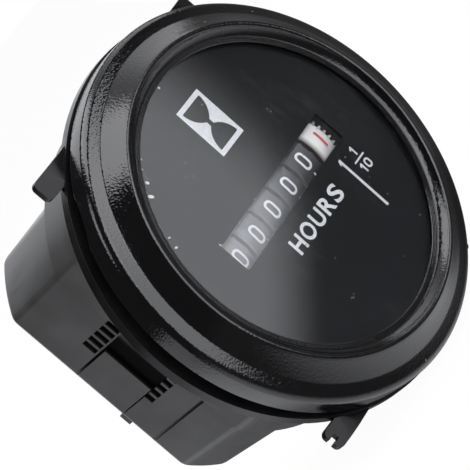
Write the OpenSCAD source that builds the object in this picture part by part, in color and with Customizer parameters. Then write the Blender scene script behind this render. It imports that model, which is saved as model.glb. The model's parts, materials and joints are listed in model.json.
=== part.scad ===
// Round panel hour meter: six number wheels behind a flat lens, crimped bezel, push-on panel clip.
// Drawn lying on its back with the panel seat at z = 0, then stood up so that the dial faces -Y.

/* [Bezel] */
// Outer radius of the bezel skirt
skirt_r = 29.4; // [28.5:0.1:31]
// Height of the straight skirt above the panel seat
skirt_h = 3.5; // [3:0.1:4.2]
// Thickness of the bezel sheet
bezel_sheet = 0.5; // [0.4:0.05:0.7]
// Radius of the small round at the skirt's edges
skirt_round = 0.4; // [0.2:0.05:0.6]
// Height gained by the shallow bevel inside the skirt
bevel_rise = 0.6; // [0.4:0.05:0.9]
// Width of the shallow bevel inside the skirt
bevel_w = 1.8; // [1.4:0.1:2.2]
// Height of the lip crest above the panel seat
lip_h = 6.95; // [6.7:0.05:7.6]
// Distance of the lip crest inside the skirt
lip_inset = 5; // [4.6:0.1:5.4]
// Radius of the rolled crest of the lip
lip_round = 0.5; // [0.3:0.05:0.7]
// Outward swell of the sloping front between crest and bevel
front_swell = 0.15; // [0:0.05:0.3]
// Width of the lip from its crest in to the sight opening
lip_w = 2.3; // [2:0.1:2.6]
// Drop from the lip crest to the lens
lip_drop = 1.45; // [1.2:0.05:1.7]
// Width of the flat ledge round the sight opening
ledge_w = 0.9; // [0.6:0.1:1.2]
// Thickness of the coined ledge
ledge_t = 0.35; // [0.2:0.05:0.5]
// Width of the edge that is rolled in behind the case flange
crimp_w = 2.4; // [2:0.1:2.8]
// Radius of the pry notch in the skirt's rear edge
pry_r = 10; // [8:0.5:12]
// Depth of the pry notch
pry_depth = 0.9; // [0.5:0.1:1.5]
// Direction of the pry notch, seen from the front
pry_angle = 140; // [0:1:359]

/* [Lens and dial] */
// Reach of the lens and of the dial plate under the lip
lens_overlap = 2.7; // [2:0.1:2.9]
// Thickness of the lens
lens_t = 1; // [0.8:0.1:1.2]
// Thickness of the dial plate
dial_t = 0.5; // [0.3:0.1:0.6]
// Width of the window for the digits
window_w = 28.6; // [27:0.1:30]
// Height of the window for the digits
window_h = 4.8; // [4:0.1:5.5]
// Radius of the window corners
window_round = 0.25; // [0.1:0.05:0.5]
// Width of the gasket ring under the dial
gasket_w = 1.7; // [1.2:0.1:1.8]
// Thickness of the gasket
gasket_t = 0.8; // [0.5:0.1:1]

/* [Case] */
// Width of the panel seat, from the neck out to the skirt
seat_w = 3.4; // [3:0.1:3.8]
// Length of the neck behind the panel seat
neck_l = 14; // [12:0.5:16]
// Depth of the case behind the panel seat
case_depth = 30.1; // [29:0.1:33]
// Step from the neck down to the rear body
body_step = 0.4; // [0.2:0.05:0.6]
// Draft of the rear body over its length
body_draft = 0.8; // [0.4:0.1:1]
// Height of the rear body's upper flat above the axis
body_top = 22; // [21.5:0.1:23]
// Depth of the rear body's lower flat below the axis
body_bottom = 20.7; // [20.3:0.1:22]
// Radius of the rear body's edges round its rear face
rear_round = 1.8; // [1:0.1:1.8]
// Clearance between the case flange and the bezel skirt
flange_gap = 0.3; // [0.2:0.05:0.5]
// Thickness of the round wall at the rear
round_wall = 2; // [1.6:0.1:2.4]
// Thickness of the flat side walls at the rear
flat_wall = 1.65; // [1.4:0.05:2]
// Thickness of the wall at the top, the bottom and the rear
wall = 1.6; // [1.2:0.1:1.9]

/* [Ratchet flat] */
// Number of slots in each row beside the tongue
slot_count = 5; // [3:1:5]
// Pitch of the slots
slot_pitch = 1.74; // [1.5:0.02:1.8]
// Length of one slot along the case
slot_l = 1.2; // [0.8:0.1:1.4]
// Depth of the slots
slot_depth = 0.9; // [0.5:0.1:1.1]
// Margin of the slots from the neck and from the tongue
slot_margin = 0.25; // [0.1:0.05:0.4]
// Width of the upper row of slots
slot_upper_w = 2.2; // [1.5:0.1:3]
// Width of the lower row of slots
slot_lower_w = 1.3; // [0.8:0.1:2]
// Height of the tongue's upper edge above the axis
tongue_top = 4.2; // [3:0.1:5]
// Depth of the tongue's lower edge below the axis
tongue_bottom = 4.4; // [3:0.1:5]
// Length of the ramp pocket in front of the tongue
pocket_l = 6.3; // [4:0.1:8]
// Depth of the ramp pocket where it meets the tongue
pocket_depth = 1.4; // [0.8:0.1:1.5]
// Width of the slit along the tongue's upper edge
slit_w = 0.4; // [0.2:0.05:0.6]
// Depth of the slits along the tongue at the rear
slit_depth = 0.25; // [0.1:0.05:0.5]
// Depth of the groove below the tongue
groove_y = 9.6; // [8.5:0.1:11]
// Width of that groove
groove_w = 0.45; // [0.3:0.05:0.8]
// Depth cut by the groove
groove_depth = 0.25; // [0.15:0.05:0.6]

/* [Retaining clip] */
// Width of the clip ring
clip_w = 3.45; // [3.2:0.05:4]
// Thickness of the clip ring
clip_t = 1.5; // [1:0.1:2]
// Clearance between the clip ring and the neck
clip_gap = 0.2; // [0.1:0.05:0.4]
// Rise of the bowed ring at its left and right
clip_bow = 2; // [1:0.1:2.5]
// Width of a spring wing
wing_w = 3.2; // [2.5:0.1:4]
// Distance of a wing's outer edge inside the ring's outer edge
wing_inset = 3.35; // [3:0.05:4]
// Reach of a wing tip from the middle
wing_reach = 21.2; // [19:0.1:23]
// Thickness of a wing
wing_t = 0.9; // [0.6:0.1:1.2]
// Length of the bent end of a wing
wing_end = 3.2; // [2:0.1:4]
// Drop of the bent end
wing_drop = 1.1; // [0.5:0.1:1.5]
// Corner radius of a wing tip
tip_round = 0.8; // [0.4:0.1:1.2]
// Width of the notch in the tips of the lower wings
tip_notch = 0.8; // [0.4:0.1:1.2]
// Width of the grip tongue that bears on the neck's flat
grip_w = 8; // [5:0.5:10]

/* [Counter] */
// Radius of the number wheels
wheel_r = 6.4; // [6:0.05:6.5]
// Width of a wheel rim
rim_w = 4.3; // [4.2:0.05:4.35]
// Width of the narrower rim of the tenths wheel
tenths_w = 3.5; // [3.2:0.05:3.8]
// Pitch of the wheels along their shaft
wheel_pitch = 5; // [4.9:0.05:5]
// Thickness of the wheel rim
rim_t = 0.9; // [0.6:0.1:1.2]
// Thickness of the wheel web
web_t = 1.2; // [0.8:0.1:2]
// Radius of the wheel core
core_r = 3.3; // [2.5:0.1:3.4]
// Gap between the wheels and the dial plate
dial_gap = 0.6; // [0.4:0.1:0.8]
// Height of the wheel shaft above the axis of the case
counter_y = 0.5; // [0:0.1:0.8]
// Sideways shift of the row of wheels
counter_x = -0.4; // [-0.4:0.1:0]
// Radius of the wheel shaft
shaft_r = 0.8; // [0.6:0.05:0.85]
// Radius of the transfer pinion shaft
pinion_shaft_r = 0.6; // [0.4:0.05:0.65]
// Radial running clearance of every wheel and gear
running_gap = 0.05; // [0.02:0.01:0.08]
// Module of the transfer teeth
transfer_module = 0.58; // [0.575:0.005:0.585]
// Direction of the pinion shaft from the wheel shaft
transfer_angle = 220; // [212:1:226]
// Thickness of a tooth ring on a wheel
ring_t = 0.28; // [0.22:0.02:0.28]
// Radius of the locking disc that drives the next wheel
lock_r = 5; // [4.8:0.05:5.05]

/* [Drive train] */
// Module of the drive gears
drive_module = 0.3; // [0.28:0.01:0.3]
// Thickness of a drive gear
gear_t = 0.6; // [0.4:0.05:0.6]
// Side gap between neighbouring gears
gear_gap = 0.2; // [0.1:0.05:0.25]
// Direction of the idler from the wheel shaft
idler_angle = 290; // [285:1:300]
// Direction of the rotor from the idler
rotor_angle = 255; // [245:1:262]
// Radius of the idler arbor
idler_shaft_r = 0.5; // [0.35:0.05:0.6]
// Radius of the rotor arbor
rotor_shaft_r = 0.4; // [0.3:0.05:0.45]
// Radius of the rotor magnet
magnet_r = 2.4; // [1.8:0.1:2.6]
// Length of the rotor magnet
magnet_l = 3; // [2:0.1:4]

/* [Movement frame] */
// Thickness of the frame's side plates
plate_t = 0.8; // [0.6:0.1:0.8]
// Gap between the last gear and a side plate
plate_gap = 1.55; // [1.2:0.05:1.75]
// Gap between the side plates and the case's flat walls
frame_gap = 0.5; // [0.3:0.1:0.8]
// Inset of the side plates' corners from the case's round wall
frame_inset = 1.9; // [1.4:0.1:2.4]
// Inset of the case's feet from the side plates' corners
foot_inset = 2; // [1:0.1:3]
// Thickness of the bars that tie the side plates together
bar_t = 2; // [1.4:0.1:2.4]

/* [Motor] */
// Thickness of the stator plate
stator_t = 1.6; // [1:0.1:2]
// Air gap between rotor magnet and stator
air_gap = 0.5; // [0.3:0.1:0.7]
// Width of the stator round the rotor
stator_ring = 1.6; // [1.2:0.1:2]
// Width of the core leg
leg_w = 2.4; // [1.6:0.1:2.6]
// Outer radius of the winding
coil_r = 3.1; // [2.6:0.1:3.2]
// Gap between the bobbin and the stator's ring
coil_gap = 0.1; // [0.1:0.1:1]
// Thickness of the bobbin's walls
bobbin_t = 0.5; // [0.4:0.1:0.6]

/* [Circuit and terminals] */
// Gap between the circuit board and the case's feet
board_gap = 1.3; // [0.5:0.1:2]
// Height of the circuit board
board_h = 26; // [24:0.5:28]
// Thickness of the circuit board
board_t = 1; // [0.8:0.1:1.2]
// Height of the posts under the circuit board
post_h = 1.5; // [1:0.1:1.8]
// Radius of the posts under the circuit board
post_r = 1.6; // [1.2:0.1:2]
// Radius of the heat-staked pins on those posts
stake_r = 0.8; // [0.5:0.05:1]
// Width of a blade terminal
blade_w = 6.3; // [4.8:0.1:6.4]
// Thickness of a blade terminal
blade_t = 0.8; // [0.5:0.1:0.9]
// Reach of a blade terminal behind the case
blade_l = 8; // [6.5:0.1:10]
// Distance of each blade from the middle
blade_x = 6.5; // [5:0.1:8]
// Radius of the detent hole in a blade
blade_hole_r = 0.9; // [0.5:0.05:1.2]

/* [Hidden] */

$fn = 96;
black = [0.09, 0.09, 0.1];
digit = 36;
wheel_count = 6;
ring_teeth = 20;
pinion_teeth = 8;
drive_teeth = 40;
drive_pinion_teeth = 8;
lock_teeth = 2;
lock_addendum = 0.1;
lock_slack = 1;
tooth_sink = 0.2;
addendum = 0.8;
dedendum = 1.15;
backlash = 12;
pinion_slack = 3;
drive_mesh = 180 + 180 / drive_pinion_teeth;
transfer_mesh = 180 + 180 / pinion_teeth;
side_gap = 0.1;
sheet_on_slope = 1.3;
plate_setback = 0.4;
ear_inset = 0.6;
chip_inset = 2.6;
foot_rise = 0.6;
bar_rise = 1;
post_inset = 2.5;
post_setback = 0.2;
stake_proud = 0.5;
blade_proud = 0.4;
bobbin_proud = 0.2;
wing_sink = 0.25;
eps = 0.02;
cut_over = 1;
far = 3 * skirt_r;

// Stack under the bezel's ledge, from the front to the case flange
lens_top = lip_h - lip_drop;
dial_top = lens_top - lens_t;
dial_rear = dial_top - dial_t;
flange_top = dial_rear - gasket_t;
flange_r = skirt_r - bezel_sheet - flange_gap;

// Bezel section
lip_r = skirt_r - lip_inset;
sight_r = lip_r - lip_w;
crimp_r = skirt_r - crimp_w;
lens_r = sight_r + lens_overlap;
slope_t = sheet_on_slope * bezel_sheet;
bevel_r = skirt_r - skirt_round;
bevel_z = skirt_h + skirt_round;
crease_r = bevel_r - bevel_w;
crease_z = bevel_z + bevel_rise;

// Places along the shafts, from the number wheels out to the side plates
function wheel_x(place) = counter_x + ((wheel_count - 1) / 2 - place) * wheel_pitch;
tenths_face = wheel_x(0) - rim_w / 2 + tenths_w;
drive_x = tenths_face + gear_gap;
idler_x = drive_x + gear_t + gear_gap;
pinion_t = wheel_pitch - rim_w - 2 * side_gap;
plate_x = idler_x + gear_t + plate_gap;
plate_outer = plate_x + plate_t;
magnet_x = 6;

// Neck, rear body and cavity: the flats clear the movement, the rounds follow the skirt
neck_r = skirt_r - seat_w;
body_r = neck_r - body_step;
cavity_r = body_r - body_draft - round_wall;
cavity_w = plate_outer + frame_gap;
body_flat = cavity_w + flat_wall + body_draft;
neck_flat = body_flat + body_step;
body_l = case_depth - neck_l;
clip_r = neck_r + clip_gap + clip_w;
wing_y = clip_r - wing_inset;

// Floor, circuit board and feet
floor_z = wall - case_depth;
board_rear = floor_z + post_h;
board_front = board_rear + board_t;
foot_z = board_front + foot_rise;
foot_x = plate_x - plate_t;
board_w = 2 * (foot_x - board_gap);
post_x = board_w / 2 - post_inset;
post_y = board_h / 2 - post_inset;

// Shaft positions as [y, z]
wheel_z = dial_rear - dial_gap - wheel_r;
wheel_at = [counter_y, wheel_z];
transfer_d = transfer_module * (ring_teeth + pinion_teeth) / 2;
drive_d = drive_module * (drive_teeth + drive_pinion_teeth) / 2;
pinion_at = wheel_at + transfer_d * [cos(transfer_angle), sin(transfer_angle)];
idler_at = wheel_at + drive_d * [cos(idler_angle), sin(idler_angle)];
rotor_at = idler_at + drive_d * [cos(rotor_angle), sin(rotor_angle)];

// Movement frame and motor
plate_half = sqrt(pow(cavity_r, 2) - pow(plate_outer, 2)) - frame_inset;
foot_half = plate_half - foot_inset;
plate_front = wheel_z + wheel_r - plate_setback;
bar_z = foot_z + bar_rise;
hole_r = magnet_r + air_gap;
stator_r = hole_r + stator_ring;
leg_end = plate_half - ear_inset;
bobbin_r = norm([stator_t, leg_w]) / 2 + side_gap;
coil_start = bar_t + bobbin_t - plate_half;
coil_l = rotor_at[0] - stator_r - coil_gap - bobbin_t - coil_start;
chip_row = plate_half - bar_t - chip_inset;

// Tooth form: an involute flank between the root and the tip, thinned for backlash
function roll(a) = tan(a) * 180 / PI - a;
function flank_angle(r, base) = r > base ? roll(acos(base / r)) : 0;
function half_tooth(r, pitch_r, teeth, slack) =
  let (base = pitch_r * cos(20))
  90 / teeth - slack + flank_angle(pitch_r, base) - flank_angle(r, base);
function polar(r, a) = [r * cos(a), r * sin(a)];
function tooth(at, root_r, pitch_r, tip_r, teeth, slack) = [
  for (r = [root_r, (root_r + pitch_r) / 2, pitch_r, tip_r])
    polar(r, at - half_tooth(r, pitch_r, teeth, slack)),
  for (r = [tip_r, pitch_r, (root_r + pitch_r) / 2, root_r])
    polar(r, at + half_tooth(r, pitch_r, teeth, slack))
];

module toothed_disc(module_size, teeth, tooth_at, slack = 0) {
  pitch_r = module_size * teeth / 2;
  thinning = slack == 0 ? backlash / teeth : slack;
  root_r = pitch_r - dedendum * module_size;
  tip_r = pitch_r + addendum * module_size;
  polygon([for (i = [0:teeth - 1])
    each tooth(tooth_at + i * 360 / teeth, root_r, pitch_r, tip_r, teeth, thinning)]);
}

// Stands the meter up: its front, +z here, becomes -Y and its top, +y here, becomes +Z
module upright() {
  rotate([90, 0, 0]) children();
}

// Extrudes a [y, z] outline along the shafts
module across(x, length) {
  translate([x, 0, 0]) rotate([90, 0, 90]) linear_extrude(length) children();
}

// A round bar along the shafts at a [y, z] place
module bar_at(place, r, x, length) {
  across(x, length) translate(place) circle(r);
}

module both_sides() {
  children();
  mirror([1, 0, 0]) children();
}

function arc(cx, cy, r, from, to, steps) =
  [for (i = [0:steps]) [cx, cy] + polar(r, from + (to - from) * i / steps)];

module bezel() {
  front_mid = [(lip_r + crease_r) / 2 + front_swell, (lip_h + crease_z) / 2 + front_swell];
  color(black) upright() difference() {
    rotate_extrude($fn = 180) polygon(concat(
      [[sight_r, lens_top], [sight_r, lens_top + ledge_t], [sight_r + ledge_w, lens_top + ledge_t]],
      arc(lip_r, lip_h - lip_round, lip_round, 160, 40, 6),
      [front_mid, [crease_r, crease_z]],
      arc(bevel_r, skirt_h, skirt_round, 80, 0, 4),
      arc(skirt_r - skirt_round, skirt_round, skirt_round, 0, -90, 4),
      [[crimp_r, 0], [crimp_r, bezel_sheet], [skirt_r - bezel_sheet, bezel_sheet],
       [skirt_r - bezel_sheet, skirt_h - bezel_sheet / 2], [crease_r, crease_z - slope_t],
       [lip_r, lip_h - slope_t], [sight_r + ledge_w + ledge_t, lens_top]]
    ));
    rotate([0, 0, pry_angle]) translate([flange_r, 0, pry_depth - pry_r])
      rotate([0, 90, 0]) cylinder(r = pry_r, h = far);
  }
}

module lens() {
  color([0.8, 0.85, 0.88, 0.3]) upright() translate([0, 0, dial_top]) cylinder(r = lens_r, h = lens_t);
}

module rounded_window(w, h, r) {
  union() {
    square([w - 2 * r, h], center = true);
    square([w, h - 2 * r], center = true);
    for (sx = [-1, 1], sy = [-1, 1])
      translate([sx * (w / 2 - r), sy * (h / 2 - r)]) circle(r, $fn = 24);
  }
}

module dial_plate() {
  color([0.05, 0.05, 0.06]) upright() translate([0, 0, dial_rear]) linear_extrude(dial_t) difference() {
    circle(lens_r);
    translate([0, counter_y]) rounded_window(window_w, window_h, window_round);
  }
}

module lens_gasket() {
  color([0.12, 0.12, 0.12]) upright() translate([0, 0, flange_top]) linear_extrude(gasket_t) difference() {
    circle(lens_r);
    circle(lens_r - gasket_w);
  }
}

// Side outline of the drafted rear body in one direction, from the neck to the rounded rear edges
module drafted(low, high) {
  right = high - body_draft - rear_round;
  left = body_draft - low + rear_round;
  round_z = rear_round - case_depth;
  polygon(concat(
    [[-low, -neck_l], [high, -neck_l]],
    arc(right, round_z, rear_round, 0, -90, 5),
    arc(left, round_z, rear_round, -90, -180, 5)
  ));
}

module rear_body() {
  intersection() {
    rotate_extrude($fn = 180) polygon(concat(
      [[0, -neck_l], [body_r, -neck_l]],
      arc(body_r - body_draft - rear_round, rear_round - case_depth, rear_round, 0, -90, 5),
      [[0, -case_depth]]
    ));
    translate([0, far / 2, 0]) rotate([90, 0, 0]) linear_extrude(far) drafted(body_flat, body_flat);
    across(-far / 2, far) drafted(body_bottom, body_top);
  }
}

// What the left flat of the rear body has cut into it; x is measured inwards from the neck's flat
module flat_cuts() {
  slot_start = -neck_l - slot_margin;
  tongue_z = -neck_l - pocket_l;
  face = body_flat - body_draft;
  for (i = [0:slot_count - 1]) translate([0, 0, slot_start - i * slot_pitch - slot_l]) {
    translate([-neck_flat, tongue_top + slot_margin, 0])
      cube([body_step + slot_depth, slot_upper_w, slot_l]);
    translate([-neck_flat, -tongue_bottom - slot_lower_w, 0])
      cube([body_step + slot_depth, slot_lower_w, slot_l]);
  }
  translate([0, tongue_top, 0]) rotate([90, 0, 0]) linear_extrude(tongue_top + tongue_bottom) polygon([
    [-neck_flat - cut_over, -neck_l], [-body_flat, -neck_l],
    [pocket_depth - body_flat, tongue_z], [-neck_flat - cut_over, tongue_z]
  ]);
  translate([-neck_flat, tongue_top - slit_w, -case_depth - cut_over])
    cube([neck_flat - face + slit_depth, slit_w, case_depth + cut_over + tongue_z + eps]);
  translate([-neck_flat, -tongue_bottom, -case_depth - cut_over])
    cube([neck_flat - face + slit_depth, slit_w / 2, case_depth + cut_over + tongue_z + eps]);
  translate([-neck_flat, -groove_y - groove_w, -case_depth - cut_over])
    cube([neck_flat - face + groove_depth, groove_w, body_l + cut_over]);
}

module cavity() {
  top = body_top - body_draft - wall;
  bottom = body_bottom - body_draft - wall;
  translate([0, 0, floor_z]) linear_extrude(flange_top - floor_z + cut_over) intersection() {
    circle(cavity_r, $fn = 180);
    translate([-cavity_w, -bottom]) square([2 * cavity_w, top + bottom]);
  }
}

module case() {
  nib_w = 1.8;
  nib_h = 0.6;
  nib_inset = 0.7;
  color([0.16, 0.16, 0.17]) upright() {
    difference() {
      union() {
        translate([0, 0, bezel_sheet]) cylinder(r = flange_r, h = flange_top - bezel_sheet, $fn = 180);
        intersection() {
          translate([0, 0, -neck_l]) cylinder(r = neck_r, h = neck_l + bezel_sheet + eps, $fn = 180);
          translate([-neck_flat, -far / 2, -far]) cube([2 * neck_flat, far, 2 * far]);
        }
        rear_body();
        both_sides() translate([nib_inset + body_draft - body_flat, -tongue_bottom - nib_w, -case_depth - nib_h])
          cube([wall, nib_w, nib_h + rear_round]);
      }
      cavity();
      both_sides() flat_cuts();
      for (side = [-1, 1]) translate([side * blade_x, 0, -case_depth])
        cube([blade_w, blade_t, 4 * wall], center = true);
    }
    both_sides() translate([foot_x, -foot_half, floor_z - eps])
      cube([cavity_w - foot_x + eps, 2 * foot_half, foot_z - floor_z + eps]);
    for (sx = [-1, 1], sy = [-1, 1]) translate([sx * post_x, sy * post_y, floor_z - eps]) {
      cylinder(r = post_r, h = post_h + eps);
      cylinder(r = stake_r, h = post_h + board_t + stake_proud + eps);
    }
  }
}

// Bent end of a wing as an [x, z] outline, level with the bowed ring where it starts
module wing_outline(top_z) {
  root_x = sqrt(pow(neck_r + clip_gap, 2) - pow(wing_y - wing_w, 2)) + 0.6;
  bend_x = wing_reach - wing_end;
  polygon([
    [root_x, top_z], [bend_x, top_z], [wing_reach, top_z - wing_drop],
    [wing_reach, top_z - wing_drop - wing_t], [bend_x, top_z - wing_t], [root_x, top_z - wing_t]
  ]);
}

// Plan of a wing with its tip corners rounded
module wing_plan() {
  union() {
    square([wing_reach - tip_round, wing_w]);
    translate([0, tip_round]) square([wing_reach, wing_w - 2 * tip_round]);
    for (y = [tip_round, wing_w - tip_round])
      translate([wing_reach - tip_round, y]) circle(tip_round, $fn = 24);
  }
}

module retaining_clip() {
  ring_in = neck_r + clip_gap;
  bow_r = (clip_r * clip_r + clip_bow * clip_bow) / (2 * clip_bow);
  wing_z = -eps - wing_sink - (bow_r - sqrt(bow_r * bow_r - pow(wing_reach - wing_end, 2)));
  color([0.13, 0.13, 0.14]) upright() {
    intersection() {
      translate([0, 0, -far / 2]) linear_extrude(far) union() {
        difference() {
          circle(clip_r, $fn = 180);
          circle(ring_in, $fn = 180);
        }
        both_sides() translate([neck_flat + clip_gap, -grip_w / 2])
          square([ring_in - neck_flat + 0.6 - clip_gap, grip_w]);
      }
      translate([0, far / 2, -eps - bow_r]) rotate([90, 0, 0]) difference() {
        cylinder(r = bow_r, h = far, $fn = 360);
        translate([0, 0, -cut_over]) cylinder(r = bow_r - clip_t, h = far + 2 * cut_over, $fn = 360);
      }
      translate([-far / 2, -far / 2, -far / 4]) cube([far, far, far / 2]);
    }
    both_sides() for (side = [0, 1]) mirror([0, side, 0]) difference() {
      intersection() {
        translate([0, wing_y, 0]) rotate([90, 0, 0]) linear_extrude(wing_w) wing_outline(wing_z);
        translate([0, wing_y - wing_w, -far / 2]) linear_extrude(far) wing_plan();
      }
      if (side == 1)
        translate([wing_reach, wing_y - wing_w / 2, wing_z]) cube([2, tip_notch, far / 4], center = true);
    }
  }
}

// One number wheel: rim, web and core, a tooth ring on its right and a locking disc on its left.
// The locking disc's two teeth stand one digit past the pinion, so the carry lies just ahead.
module number_wheel(place, tint, reading) {
  x = wheel_x(place);
  turn = reading * digit;
  bore_r = shaft_r + running_gap;
  rim = place == 0 ? tenths_w : rim_w;
  color(tint) upright() {
    across(x - rim_w / 2, rim) translate(wheel_at) difference() {
      circle(wheel_r);
      circle(wheel_r - rim_t);
    }
    across(x - web_t / 2, web_t) translate(wheel_at) difference() {
      circle(wheel_r - rim_t + eps);
      circle(core_r - eps);
    }
    across(x - rim_w / 2, rim) translate(wheel_at) difference() {
      circle(core_r);
      circle(bore_r);
    }
    if (place == 0) {
      across(tenths_face - eps, gear_gap + 2 * eps) translate(wheel_at) difference() {
        circle(core_r);
        circle(bore_r);
      }
      across(drive_x, gear_t) translate(wheel_at) difference() {
        toothed_disc(drive_module, drive_teeth, idler_angle);
        circle(bore_r);
      }
    } else {
      across(x + rim_w / 2 - eps, ring_t + eps) translate(wheel_at) difference() {
        toothed_disc(transfer_module, ring_teeth, transfer_angle);
        circle(bore_r);
      }
    }
    if (place < wheel_count - 1)
      across(x - rim_w / 2 - ring_t, ring_t + eps) translate(wheel_at) difference() {
        locking_disc(transfer_angle + digit + turn);
        circle(bore_r);
      }
  }
}

module locking_disc(tooth_at) {
  pitch_r = transfer_module * ring_teeth / 2;
  union() {
    circle(lock_r);
    for (i = [0:lock_teeth - 1])
      polygon(tooth(
        tooth_at + (i - 0.5) * 360 / ring_teeth,
        lock_r - tooth_sink, pitch_r, pitch_r + lock_addendum, ring_teeth, lock_slack
      ));
  }
}

module tenths_wheel() {
  number_wheel(0, [0.9, 0.9, 0.88], 1);
}

module ones_wheel() {
  number_wheel(1, black, 0);
}

module tens_wheel() {
  number_wheel(2, black, 0);
}

module hundreds_wheel() {
  number_wheel(3, black, 0);
}

module thousands_wheel() {
  number_wheel(4, black, 0);
}

module ten_thousands_wheel() {
  number_wheel(5, black, 0);
}

module wheel_shaft() {
  color([0.7, 0.7, 0.72]) upright() bar_at(wheel_at, shaft_r, -plate_outer, 2 * plate_outer);
}

// A transfer pinion sits in the gap to the right of the wheel that it drives
module transfer_pinion(place) {
  color([0.85, 0.83, 0.75]) upright()
    across(wheel_x(place) + wheel_pitch / 2 - pinion_t / 2, pinion_t) translate(pinion_at) difference() {
      toothed_disc(transfer_module, pinion_teeth, transfer_angle + transfer_mesh, pinion_slack);
      circle(pinion_shaft_r + running_gap, $fn = 48);
    }
}

module ones_pinion() {
  transfer_pinion(1);
}

module tens_pinion() {
  transfer_pinion(2);
}

module hundreds_pinion() {
  transfer_pinion(3);
}

module thousands_pinion() {
  transfer_pinion(4);
}

module ten_thousands_pinion() {
  transfer_pinion(5);
}

module pinion_shaft() {
  color([0.7, 0.7, 0.72]) upright()
    bar_at(pinion_at, pinion_shaft_r, -plate_outer, 2 * plate_outer);
}

module idler_gear() {
  color([0.85, 0.83, 0.75]) upright() {
    across(drive_x, gear_t + gear_gap + eps) translate(idler_at) difference() {
      toothed_disc(drive_module, drive_pinion_teeth, idler_angle + drive_mesh, pinion_slack);
      circle(idler_shaft_r + running_gap, $fn = 48);
    }
    across(idler_x, gear_t) translate(idler_at) difference() {
      toothed_disc(drive_module, drive_teeth, rotor_angle);
      circle(idler_shaft_r + running_gap, $fn = 48);
    }
  }
}

module idler_arbor() {
  color([0.7, 0.7, 0.72]) upright()
    bar_at(idler_at, idler_shaft_r, -plate_outer, 2 * plate_outer);
}

module rotor() {
  bore_r = rotor_shaft_r + running_gap;
  hub_r = drive_module * (drive_pinion_teeth / 2 - dedendum);
  color([0.35, 0.35, 0.37]) upright() {
    across(idler_x, gear_t) translate(rotor_at) difference() {
      toothed_disc(drive_module, drive_pinion_teeth, rotor_angle + drive_mesh, pinion_slack);
      circle(bore_r, $fn = 48);
    }
    across(magnet_x, idler_x - magnet_x + eps) translate(rotor_at) difference() {
      circle(hub_r, $fn = 48);
      circle(bore_r, $fn = 48);
    }
    across(magnet_x - magnet_l / 2, magnet_l) translate(rotor_at) difference() {
      circle(magnet_r, $fn = 64);
      circle(bore_r, $fn = 48);
    }
  }
}

module rotor_arbor() {
  color([0.7, 0.7, 0.72]) upright()
    bar_at(rotor_at, rotor_shaft_r, -plate_outer, 2 * plate_outer);
}

// Moulded frame: two side plates that carry every shaft, tied by two bars with posts for the stator
module counter_frame() {
  shoulder = plate_front - wheel_r;
  color([0.75, 0.74, 0.7]) upright() {
    both_sides() across(plate_x, plate_t) difference() {
      polygon([
        [-plate_half + 4, plate_front], [plate_half - 4, plate_front], [plate_half, shoulder],
        [plate_half, foot_z], [-plate_half, foot_z], [-plate_half, shoulder]
      ]);
      translate(wheel_at) circle(shaft_r + eps);
      translate(pinion_at) circle(pinion_shaft_r + eps, $fn = 48);
      translate(idler_at) circle(idler_shaft_r + eps, $fn = 48);
      translate(rotor_at) circle(rotor_shaft_r + eps, $fn = 48);
    }
    for (side = [-1, 1])
      translate([-plate_x - eps, side * (plate_half - bar_t / 2) - bar_t / 2, bar_z])
        cube([2 * (plate_x + eps), bar_t, bar_t]);
    for (side = [-1, 1])
      mirror([0, (1 - side) / 2, 0])
        translate([magnet_x - stator_t / 2, plate_half - bar_t + post_setback, bar_z])
          cube([stator_t, bar_t - post_setback, rotor_at[1] - leg_w / 2 - bar_z]);
  }
}

module stator_core() {
  color([0.6, 0.6, 0.62]) upright() across(magnet_x - stator_t / 2, stator_t) difference() {
    union() {
      translate(rotor_at) circle(stator_r, $fn = 64);
      translate([-leg_end, rotor_at[1] - leg_w / 2]) square([2 * leg_end, leg_w]);
    }
    translate(rotor_at) circle(hole_r, $fn = 64);
  }
}

// A round spool along the core leg, which is a flat bar
module on_leg(r, from, length) {
  translate([magnet_x, from, rotor_at[1]]) rotate([-90, 0, 0]) cylinder(r = r, h = length, $fn = 64);
}

module leg_bore() {
  translate([magnet_x - stator_t / 2, -far / 2, rotor_at[1] - leg_w / 2])
    cube([stator_t, far, leg_w]);
}

module coil_bobbin() {
  color([0.82, 0.8, 0.74]) upright() difference() {
    union() {
      on_leg(bobbin_r, coil_start - bobbin_t, coil_l + 2 * bobbin_t);
      on_leg(coil_r, coil_start - bobbin_t, bobbin_t);
      on_leg(coil_r, coil_start + coil_l, bobbin_t);
    }
    leg_bore();
  }
}

module coil_winding() {
  color([0.72, 0.4, 0.18]) upright() difference() {
    on_leg(coil_r - bobbin_proud, coil_start, coil_l);
    on_leg(bobbin_r, coil_start - cut_over, coil_l + 2 * cut_over);
  }
}

module circuit_board() {
  color([0.1, 0.35, 0.2]) upright() translate([0, 0, board_rear]) linear_extrude(board_t) difference() {
    square([board_w, board_h], center = true);
    for (sx = [-1, 1], sy = [-1, 1])
      translate([sx * post_x, sy * post_y]) circle(stake_r + eps, $fn = 48);
    for (side = [-1, 1])
      translate([side * blade_x, 0]) square([blade_w, blade_t], center = true);
  }
}

// Parts on the front of the board, clear of the frame
module crystal() {
  can_r = 1;
  can_l = 6;
  color([0.8, 0.8, 0.82]) upright() translate([-can_l / 2 - 2, chip_row, board_front + can_r])
    rotate([0, 90, 0]) cylinder(r = can_r, h = can_l, $fn = 48);
}

module capacitor() {
  can_r = 2;
  can_h = 5;
  color([0.15, 0.2, 0.4]) upright() translate([post_x - 3, chip_row, board_front])
    cylinder(r = can_r, h = can_h, $fn = 48);
}

module control_chip() {
  chip = [5, 4, 1.4];
  color([0.08, 0.08, 0.09]) upright()
    translate([-chip[0] / 2, -chip_row - chip[1] / 2, board_front]) cube(chip);
}

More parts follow.
